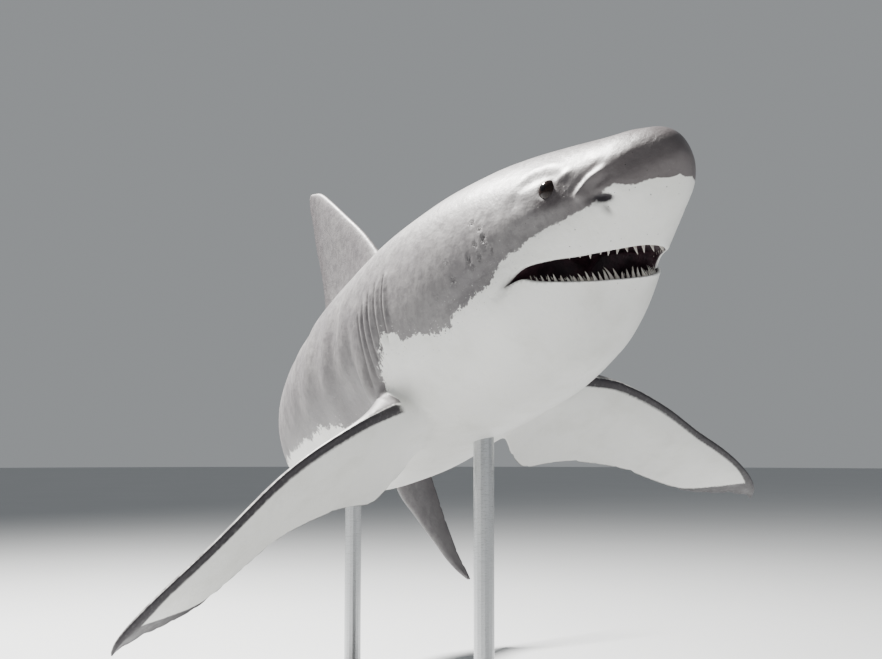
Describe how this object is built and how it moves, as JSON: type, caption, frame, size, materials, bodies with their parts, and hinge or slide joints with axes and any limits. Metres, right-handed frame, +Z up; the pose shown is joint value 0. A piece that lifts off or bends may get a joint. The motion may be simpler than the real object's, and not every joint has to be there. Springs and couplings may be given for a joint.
{
  "type": "great white shark",
  "caption": "Life-size still model of a great white shark swimming with its tail turned to the left, mouth a little open, held over a flat base by two short rods.",
  "frame": {"origin": "centre of the stand base's underside, on the floor", "axes": "+Z up, +X along the head's heading seen from above, +Y to the shark's left"},
  "size_m": [3.0078, 1.8509, 1.5531],
  "materials": {
    "shark_skin": "satin painted skin, slate grey above and white below",
    "eye": "polished black glass eye",
    "teeth": "glossy ivory-white teeth",
    "mouth": "moist dull pink gums and mouth lining",
    "stand_base": "satin black lacquer on wood",
    "stand_steel": "brushed"
  },
  "bodies": {
    "root": {"head": "shark_skin", "lower_jaw": "shark_skin", "gill_region": "shark_skin", "trunk_front": "shark_skin", "trunk_rear": "shark_skin", "tail_stem": "shark_skin", "dorsal_fin_first": "shark_skin", "dorsal_fin_second": "shark_skin", "anal_fin": "shark_skin", "tail_fin": "shark_skin", "pectoral_fin_left": "shark_skin", "pectoral_fin_right": "shark_skin", "pelvic_fin_left": "shark_skin", "pelvic_fin_right": "shark_skin", "eye_left": "eye", "eye_right": "eye", "stand_base": "stand_base", "stand_rod_front": "stand_steel", "stand_rod_rear": "stand_steel", "stand_collar_front": "stand_steel", "stand_collar_rear": "stand_steel"}
  },
  "joints": []
}
